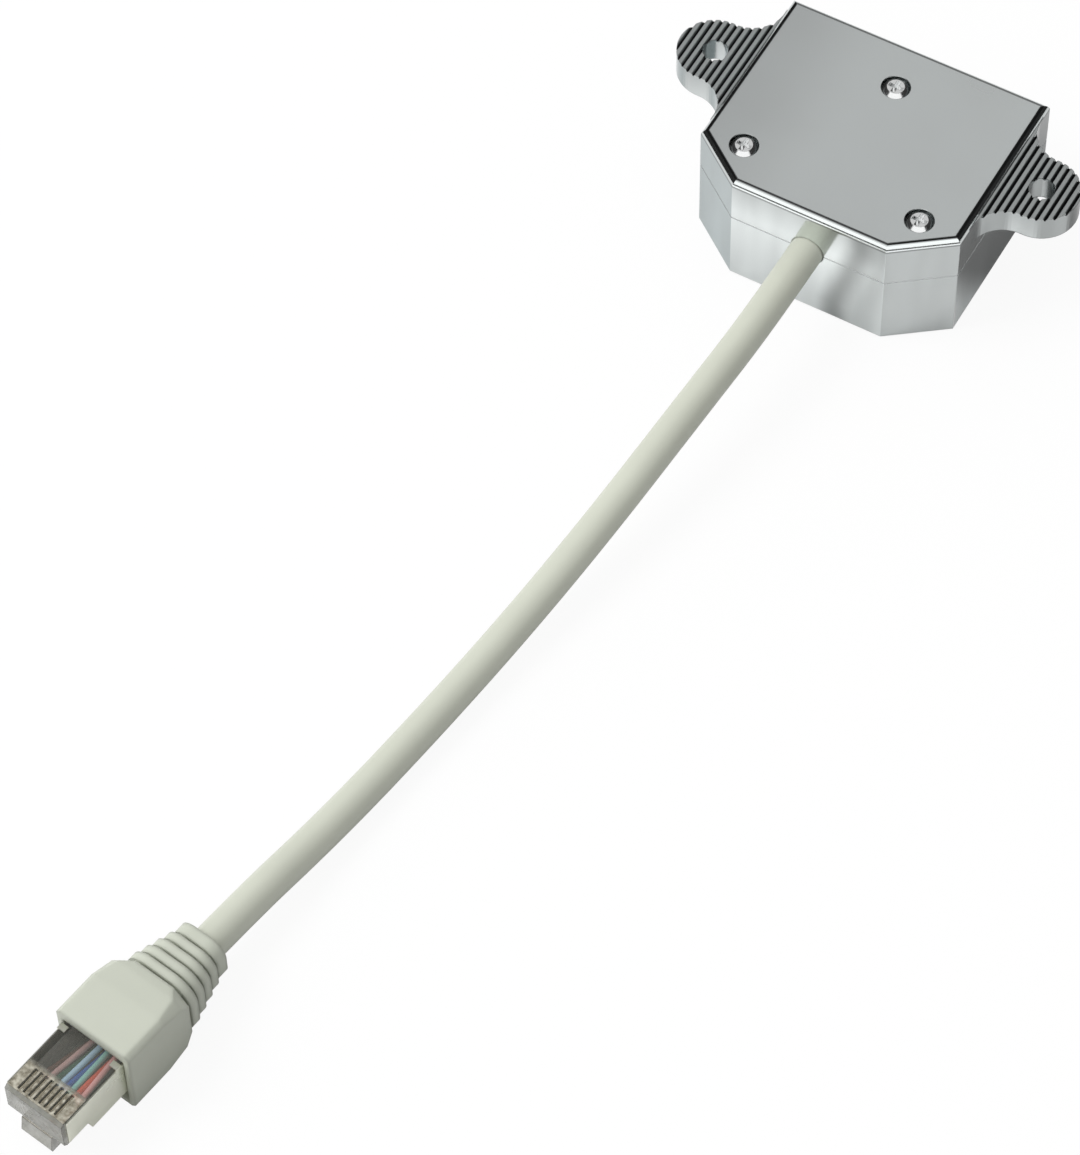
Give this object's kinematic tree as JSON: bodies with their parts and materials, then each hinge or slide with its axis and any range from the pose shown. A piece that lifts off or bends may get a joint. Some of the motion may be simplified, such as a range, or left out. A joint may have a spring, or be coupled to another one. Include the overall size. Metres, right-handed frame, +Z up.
{
  "type": "ethernet splitter",
  "caption": "Plated network cable splitter with jacks in its back wall, drilled grooved ears, case screws and a short round cable that ends in a booted modular plug.",
  "frame": {"origin": "middle of the housing's underside", "axes": "+X to the right ear, +Y to the wall with the jacks, +Z up; the cable leaves towards -Y"},
  "size_m": [0.0738, 0.2356, 0.0242],
  "materials": {
    "shell_plating": "bright plating, satin on the top",
    "screw_steel": "bright zinc plate",
    "board_laminate": "green solder resist",
    "jack_sheet": "nickel plate",
    "jack_plastic": "moulded black",
    "contact_gold": "gold plate",
    "cable_jacket": "grey-beige jacket",
    "ferrule_metal": "plain",
    "wire_ends": "plain insulation",
    "plug_clear": "clear polycarbonate",
    "plug_sheet": "nickel plate",
    "boot_plastic": "grey-beige soft moulding",
    "wire_white_orange": "plain insulation",
    "wire_orange": "plain insulation",
    "wire_white_green": "plain insulation",
    "wire_blue": "plain insulation",
    "wire_white_blue": "plain insulation",
    "wire_green": "plain insulation",
    "wire_white_brown": "plain insulation",
    "wire_brown": "plain insulation"
  },
  "bodies": {
    "splitter": {"upper_shell": "shell_plating", "lower_shell": "shell_plating", "case_screws": "screw_steel", "circuit_board": "board_laminate", "jack_shield_left": "jack_sheet", "jack_shield_right": "jack_sheet", "jack_body_left": "jack_plastic", "jack_body_right": "jack_plastic", "jack_contacts_left": "contact_gold", "jack_contacts_right": "contact_gold", "cable": "cable_jacket", "cable_ferrule": "ferrule_metal", "board_wires": "wire_ends", "plug_body": "plug_clear", "plug_shield": "plug_sheet", "plug_contacts": "contact_gold", "plug_boot": "boot_plastic", "plug_wire_1": "wire_white_orange", "plug_wire_2": "wire_orange", "plug_wire_3": "wire_white_green", "plug_wire_4": "wire_blue", "plug_wire_5": "wire_white_blue", "plug_wire_6": "wire_green", "plug_wire_7": "wire_white_brown", "plug_wire_8": "wire_brown"},
    "latch": {"plug_latch": "plug_clear"}
  },
  "joints": [
    {"name": "latch_press", "type": "hinge", "parent": "splitter", "child": "latch", "pos_m": [-0.02607, -0.21411, 0.00585], "axis": [0.988, -0.1547, 0], "range_deg": [0, 6], "stiffness_Nm_per_rad": 0.5}
  ]
}
